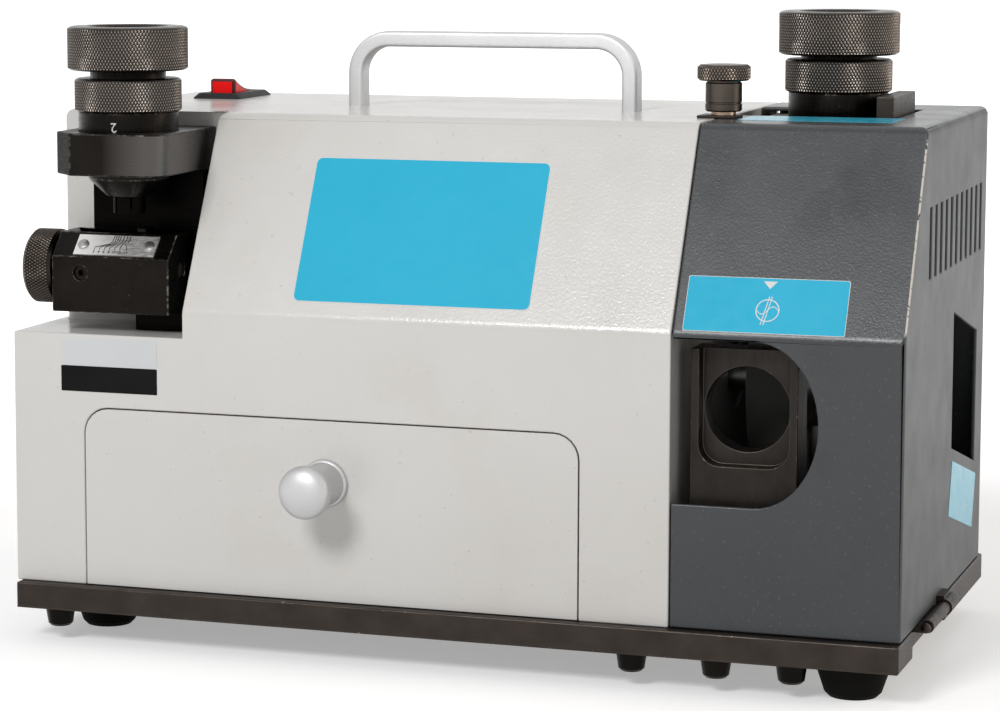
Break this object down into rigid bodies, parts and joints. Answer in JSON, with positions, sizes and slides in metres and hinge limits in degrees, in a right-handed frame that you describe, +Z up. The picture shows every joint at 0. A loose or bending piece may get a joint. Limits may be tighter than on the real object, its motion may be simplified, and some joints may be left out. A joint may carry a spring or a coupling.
{
  "type": "tool and cutter grinder",
  "caption": "Bench grinder for end mills: sheet housing with drawer, handle and switch, hinged wheel cover with chuck ports, setting gauge and collet chucks.",
  "frame": {"origin": "centre of the whole machine's outline, on the surface that its feet stand on", "axes": "+Z up, -Y towards the user at the drawer front, +X towards the hinged wheel cover"},
  "size_m": [0.3166, 0.182, 0.2191],
  "materials": {
    "white_paint": "semi-gloss textured powder coat",
    "grey_paint": "semi-gloss textured powder coat",
    "dark_steel": "browned and ground",
    "black_oxide": "black oxide, satin",
    "bright_steel": "machined",
    "aluminium": "satin anodised",
    "cast_alloy": "as cast",
    "rubber": "matt",
    "black_plastic": "matt",
    "red_plastic": "gloss, translucent",
    "abrasive": "fine abrasive rim"
  },
  "bodies": {
    "machine": {"base_plate": "dark_steel", "rubber_feet": "rubber", "base_screws": "black_oxide", "main_housing": "white_paint", "rear_panel": "white_paint", "panel_screws": "bright_steel", "power_inlet": "black_plastic", "carry_handle": "aluminium", "handle_screws": "bright_steel", "switch_bezel": "black_plastic", "drawer_runners": "bright_steel", "gauge_post": "black_oxide", "gauge_arm": "black_oxide", "scale_block": "black_oxide", "scale_plate": "aluminium", "scale_rivets": "aluminium", "set_screw": "black_oxide", "port_column": "dark_steel", "top_seat": "dark_steel", "stop_block": "dark_steel", "front_port_block": "dark_steel", "side_port_block": "dark_steel", "port_screws": "black_oxide", "latch_bracket": "bright_steel", "hinge_barrel": "dark_steel", "hinge_pin": "dark_steel", "motor_body": "bright_steel", "motor_front_bell": "cast_alloy", "motor_rear_bell": "cast_alloy", "front_bearing": "bright_steel", "rear_bearing": "bright_steel", "motor_cradle": "cast_alloy", "run_capacitor": "cast_alloy", "terminal_block": "black_plastic"},
    "drawer": {"drawer_box": "bright_steel", "drawer_front": "white_paint", "drawer_knob": "aluminium"},
    "rocker": {"switch_rocker": "red_plastic"},
    "cover": {"wheel_cover": "grey_paint", "cover_knuckle": "dark_steel", "latch_plate": "dark_steel"},
    "latch": {"thumb_screw": "dark_steel"},
    "left_chuck": {"left_chuck_body": "black_oxide", "left_grip_ring": "black_oxide", "left_collet": "black_oxide"},
    "left_clamp": {"left_cap": "black_oxide"},
    "right_chuck": {"right_chuck_body": "black_oxide", "right_grip_ring": "black_oxide", "right_collet": "black_oxide"},
    "right_clamp": {"right_cap": "black_oxide"},
    "gauge_drive": {"gauge_knob": "black_oxide", "gauge_screw": "bright_steel"},
    "gauge_stop": {"setting_slide": "black_oxide"},
    "rotor": {"spindle": "bright_steel", "cooling_fan": "black_plastic", "wheel_hub": "bright_steel", "grinding_wheel": "abrasive", "wheel_flange": "bright_steel", "spindle_nut": "bright_steel"}
  },
  "joints": [
    {"name": "drawer_pull", "type": "slide", "parent": "machine", "child": "drawer", "axis": [0, -1, 0], "range_m": [0, 0.04]},
    {"name": "switch_rock", "type": "hinge", "parent": "machine", "child": "rocker", "pos_m": [-0.1271, 0.0592, 0.184], "axis": [1, 0, 0], "range_deg": [0, 16]},
    {"name": "cover_swing", "type": "hinge", "parent": "machine", "child": "cover", "pos_m": [0.1555, 0.025, 0.0201], "axis": [0, 1, 0], "range_deg": [0, 95]},
    {"name": "thumb_screw_turn", "type": "hinge", "parent": "cover", "child": "latch", "pos_m": [0.0783, -0.005, 0.184], "axis": [0, 0, 1], "range_deg": [0, 720]},
    {"name": "left_chuck_lift", "type": "slide", "parent": "machine", "child": "left_chuck", "axis": [0, 0, 1], "range_m": [0, 0.06]},
    {"name": "left_cap_turn", "type": "hinge", "parent": "left_chuck", "child": "left_clamp", "pos_m": [-0.1182, -0.057, 0.1791], "axis": [0, 0, 1], "range_deg": [0, 360]},
    {"name": "right_chuck_turn", "type": "hinge", "parent": "machine", "child": "right_chuck", "pos_m": [0.1092, 0.035, 0.1817], "axis": [0, 0, 1], "range_deg": [-60, 60]},
    {"name": "right_cap_turn", "type": "hinge", "parent": "right_chuck", "child": "right_clamp", "pos_m": [0.1092, 0.035, 0.1817], "axis": [0, 0, 1], "range_deg": [0, 360]},
    {"name": "gauge_knob_turn", "type": "hinge", "parent": "machine", "child": "gauge_drive", "pos_m": [-0.1453, -0.051, 0.1305], "axis": [1, 0, 0], "range_deg": [0, 1800]},
    {"name": "gauge_stop_slide", "type": "slide", "parent": "machine", "child": "gauge_stop", "axis": [1, 0, 0], "range_m": [0, 0.005]},
    {"name": "spindle_spin", "type": "hinge", "parent": "machine", "child": "rotor", "pos_m": [0.0892, 0.025, 0.0925], "axis": [1, 0, 0], "continuous": true}
  ],
  "couplings": [
    {"joint": "gauge_stop_slide", "follows": "gauge_knob_turn", "m_per_rad": 0.00015915}
  ]
}
